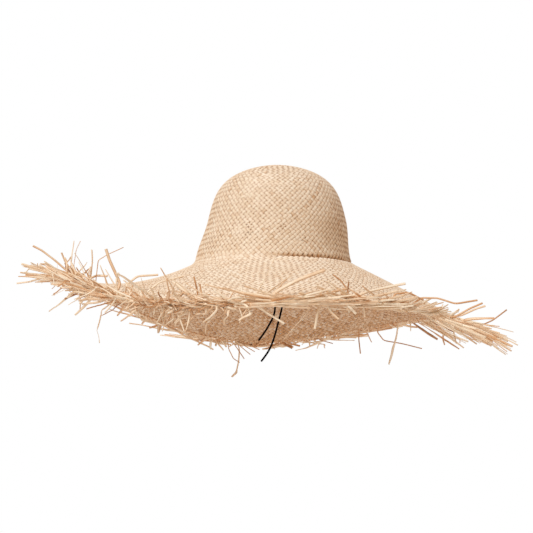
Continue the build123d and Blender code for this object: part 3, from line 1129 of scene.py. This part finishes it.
def make_sweatband(material):
    """A ribbed strip, open at the top and folded out to the wall along its lower edge."""
    gap = CHANNEL_WIDTH + BAND_THICKNESS
    faces_up = [(gap, z) for z in (0.6, 2, 4, 7, 10, 12, 14, 18, 22, 26, 30.5)]
    over_top = [(gap - 0.15, 30.9), (CHANNEL_WIDTH + 0.15, 30.9)]
    faces_down = [(CHANNEL_WIDTH, z) for z in (30.5, 24, 16, 8, 2)]
    corner = [(0.2 - CORNER_ROOM, 1.1), (FOLD_GAP - CORNER_ROOM, 0.7), (0.2 - CORNER_ROOM, 0.3)]
    fold = [(CHANNEL_WIDTH - 0.2, 1.3), (1.6, BAND_FOLD_TOP)] + corner
    under = [(1.8, BAND_BOTTOM), (gap - 0.3, BAND_BOTTOM + 0.05)]
    outline = faces_up + over_top + faces_down + fold + under
    columns = 2 * BAND_RIBS
    points = []
    fibres = []
    for column in range(columns):
        angle = 2 * math.pi * column / columns
        rib = RIB_DEPTH * (1 if column % 2 else -1)
        lap = BAND_LAP_STEP if BAND_LAP[0] < 360 * column / columns < BAND_LAP[1] else 0.0
        for inset, height in outline:
            depth = inset
            if inset >= CHANNEL_WIDTH:
                depth += CORD_BULGE * math.exp(-((height - CORD_HEIGHT) / CORD_BULGE_REACH) ** 2)
            if inset > CHANNEL_WIDTH:
                depth += lap + rib
            squeeze = float(crease_depth(angle) * pinch(CROWN_LENGTH - height))
            if inset < 1:
                depth += squeeze
            else:
                depth = max(depth, squeeze + 1 + (BAND_THICKNESS if inset > CHANNEL_WIDTH else 0))
            radius = float(wall_inside(height)) - depth
            x, y = radius * math.cos(angle), HEAD_OVAL * radius * math.sin(angle)
            if NOTCH[0] < x < NOTCH[1] and y > NOTCH_FRONT - gap and height < NOTCH_TOP + 0.3:
                height = NOTCH_TOP + 0.3 * (height > 1)
                radius = float(wall_inside(height)) - max(depth, CHANNEL_WIDTH)
                x, y = radius * math.cos(angle), HEAD_OVAL * radius * math.sin(angle)
            points.append((x, y, height))
            fibres.append((column * math.pi * 180 / columns, height, inset))
    sides = len(outline)
    faces = []
    for column in range(columns):
        row = column * sides
        after = (column + 1) % columns * sides
        for k in range(sides):
            low = (k + 1) % sides
            faces.append((row + k, after + k, after + low, row + low))
    mesh = smooth_mesh("sweatband_strip", np.array(points) * MM, faces)
    fibre = mesh.attributes.new("fibre", "FLOAT_VECTOR", "POINT")
    fibre.data.foreach_set("vector", np.array(fibres).ravel().astype(np.float32))
    mesh.materials.append(material)
    band = add("sweatband_strip", mesh)
    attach(band, HAT)
    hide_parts("sweatband")


def make_stitches(material):
    """Straight stitches that hold the fold of the band, each with its ends drawn into the cloth."""
    inset = CHANNEL_WIDTH + BAND_THICKNESS + STITCH_DIAMETER / 2 + 0.05
    side = wall_inside(STITCH_HEIGHT) - inset
    thread = Ribbons(RIBBON)
    share = np.linspace(-1, 1, 9)
    for i in range(STITCH_COUNT):
        angle = 2 * math.pi * i / STITCH_COUNT
        turn = angle + share * STITCH_LENGTH / 2 / (side * (1 + HEAD_OVAL) / 2)
        sunk = 0.45 * np.abs(share) ** 4
        line = oval(side + sunk, turn, STITCH_HEIGHT)
        inward = -unit(oval(1.0, turn, 0.0) * (HEAD_OVAL, 1 / HEAD_OVAL, 1))
        thread.add(line, inward, STITCH_DIAMETER, STITCH_DIAMETER, 0.2)
    obj = thread.build("stitch_thread", material)
    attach(obj, HAT)
    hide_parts("sweatband_stitching")


def cord_drop(degrees, direction):
    """The bend and the run that take the drawstring down along the wall to its exit."""
    side = float(wall_inside(CORD_HEIGHT)) - CHANNEL_WIDTH / 2
    angle = math.radians(degrees)
    point = oval(side, angle, CORD_HEIGHT)
    along = unit(np.array([-math.sin(angle), HEAD_OVAL * math.cos(angle), 0])) * direction
    away = unit(np.array([HEAD_OVAL * math.cos(angle), math.sin(angle), 0]))
    down = unit(away * HEAD_OVAL * CROWN_BASE_EXTRA / CROWN_HEIGHT - np.array([0, 0, 1]))
    turned = np.linspace(0, np.pi / 2, 13)[:, None]
    bend = point + (along * np.sin(turned) + down * (1 - np.cos(turned))) * CORD_BEND_RADIUS
    run = (bend[-1, 2] - CORD_END_HEIGHT) / -down[2]
    return np.concatenate([bend, [bend[-1] + down * run]])


def make_drawstring(material):
    """The cord's hidden run, from one exit round behind the sweatband to the other."""
    side = float(wall_inside(CORD_HEIGHT)) - CHANNEL_WIDTH / 2
    round_it = oval(side, np.radians(np.linspace(*CORD_TURNS, 220)), CORD_HEIGHT)
    start = cord_drop(CORD_TURNS[0], -1)[::-1]
    finish = cord_drop(CORD_TURNS[1], 1)
    route = np.concatenate([start[:-1], round_it, finish[1:]]) * MM
    line, marks = even_line(route, 2 * BRAID_STEP * MM)
    cord = braid("drawstring_run", line, marks)
    cord.data.materials.append(material)
    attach(cord, HAT)
    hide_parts("drawstring")


# ---------------- materials

STREAK_SCALE = (0.08, 3.2, 1.0)
STREAK_SHARE = 0.5
BLOTCH_SCALE = (0.11, 0.3, 1.0)
BLOTCH_SHARE = 0.35
ROUGHNESS_SHARE = 0.25
STRAW_STOPS = (
    (0.0, (0.93, 0.81, 0.64)), (0.3, (0.82, 0.645, 0.455)), (0.6, (0.62, 0.34, 0.15)), (1.0, (0.24, 0.10, 0.04)),
)
FRINGE_STOPS = (
    (0.0, (0.98, 0.87, 0.68)), (0.25, (0.93, 0.72, 0.49)), (0.55, (0.74, 0.41, 0.19)), (1.0, (0.30, 0.12, 0.045)),
)
THREAD_STOPS = ((0.0, (0.80, 0.68, 0.50)), (0.4, (0.70, 0.57, 0.40)), (1.0, (0.45, 0.34, 0.22)))
CORD_STOPS = ((0.0, (0.002, 0.002, 0.0024)), (1.0, (0.006, 0.006, 0.0072)))
BAND_STOPS = ((0.3, (0.50, 0.37, 0.24)), (0.9, (0.72, 0.59, 0.42)))


def multiply_add(tree, value, factor, added):
    return node(tree, "Math", value, factor, added, operation="MULTIPLY_ADD").outputs[0]


def noise(tree, vector, scale, **settings):
    """Noise along a vector that is stretched by its own factor along each axis."""
    stretched = node(tree, "VectorMath", vector, scale, operation="MULTIPLY")
    return node(tree, "TexNoise", stretched.outputs[0], Scale=1.0, **settings).outputs["Fac"]


def colour_ramp(tree, value, stops):
    """A colour that runs through the stops, each a (value, colour)."""
    ramp = node(tree, "ValToRGB", value)
    elements = ramp.color_ramp.elements
    while len(elements) < len(stops):
        elements.new(0.5)
    for element, (position, colour) in zip(elements, stops):
        element.position = position
    for element, (position, colour) in zip(elements, stops):
        element.color = (*colour, 1)
    return ramp.outputs["Color"]


def bump(tree, height, strength, distance):
    return node(tree, "Bump", Height=height, Strength=strength, Distance=distance).outputs["Normal"]


def straw_material(name, stops, roughness, grain, sheen):
    """Split palm leaf: long fibres, tones that differ from strand to strand, and a dry shine."""
    finish = {"Specular IOR Level": 0.3, "Sheen Weight": sheen, "Sheen Roughness": 0.5}
    material, tree, shader = new_material(name, finish)
    fibre = node(tree, "Attribute", attribute_name="fibre").outputs["Vector"]
    tone = node(tree, "Attribute", attribute_name="tone").outputs["Fac"]
    streaks = noise(tree, fibre, STREAK_SCALE, Detail=4.0, Roughness=0.6)
    blotches = noise(tree, fibre, BLOTCH_SCALE, Detail=2.0, Roughness=0.5)
    streaked = multiply_add(tree, streaks, STREAK_SHARE, tone)
    blotched = multiply_add(tree, blotches, BLOTCH_SHARE, streaked)
    middle = (STREAK_SHARE + BLOTCH_SHARE) / 2
    centred = node(tree, "Math", blotched, middle, operation="SUBTRACT").outputs[0]
    feed(tree, shader, {
        "Base Color": colour_ramp(tree, centred, stops),
        "Roughness": multiply_add(tree, streaks, ROUGHNESS_SHARE, roughness - 0.12),
        "Normal": bump(tree, streaks, grain, 0.0004),
    })
    return material


def cord_material():
    """Matte black braid."""
    material, tree, shader = new_material("black_cord", {"Roughness": 0.95, "Specular IOR Level": 0.06})
    where = node(tree, "TexCoord").outputs["Object"]
    waves = []
    for lean in (1, -1):
        scale = (lean / MM, lean / MM, 1 / MM)
        turned = node(tree, "VectorMath", where, scale, operation="MULTIPLY").outputs[0]
        wave = node(tree, "TexWave", turned, bands_direction="DIAGONAL", Scale=0.22, Distortion=0.4)
        waves.append(wave.outputs["Fac"])
    plaited = node(tree, "Math", *waves, operation="MAXIMUM").outputs[0]
    feed(tree, shader, {
        "Base Color": colour_ramp(tree, plaited, CORD_STOPS),
        "Normal": bump(tree, plaited, 0.5, 0.0003),
    })
    return material


def band_material():
    """Ribbed cotton band: fine cross ribs, a weft grain and slight soiling."""
    material, tree, shader = new_material("band_fabric", {"Roughness": 0.85, "Sheen Weight": 0.25})
    fibre = node(tree, "Attribute", attribute_name="fibre").outputs["Vector"]
    weft = node(tree, "TexWave", fibre, bands_direction="Y", Scale=0.6, Distortion=0.8, Detail=2.0).outputs["Fac"]
    wear = node(tree, "TexNoise", fibre, Scale=0.06, Detail=3.0, Roughness=0.6).outputs["Fac"]
    feed(tree, shader, {
        "Base Color": colour_ramp(tree, multiply_add(tree, weft, 0.25, wear), BAND_STOPS),
        "Normal": bump(tree, weft, 0.5, 0.0002),
    })
    return material


# ---------------- making the scene

make_camera()
long_tail = make_tail("cord_tail_long", LONG_TAIL, "tail_long", "drawstring_tail_long")
short_tail = make_tail("cord_tail_short", SHORT_TAIL, "tail_short", "drawstring_tail_short")
make_lights()
make_floor()
straw = straw_material("straw", STRAW_STOPS, roughness=0.62, grain=0.5, sheen=0.1)
loose_straw = straw_material("frayed_straw", FRINGE_STOPS, roughness=0.5, grain=0.7, sheen=0.1)
twining = straw_material("twining", FRINGE_STOPS, roughness=0.55, grain=0.7, sheen=0.1)
thread = straw_material("thread", THREAD_STOPS, roughness=0.8, grain=0.4, sheen=0.2)
black = cord_material()
for tail in (long_tail, short_tail):
    tail.data.materials.append(black)
make_fringe(make_weave(straw), loose_straw)
make_twining(twining)
make_sweatband(band_material())
make_stitches(thread)
make_drawstring(black)
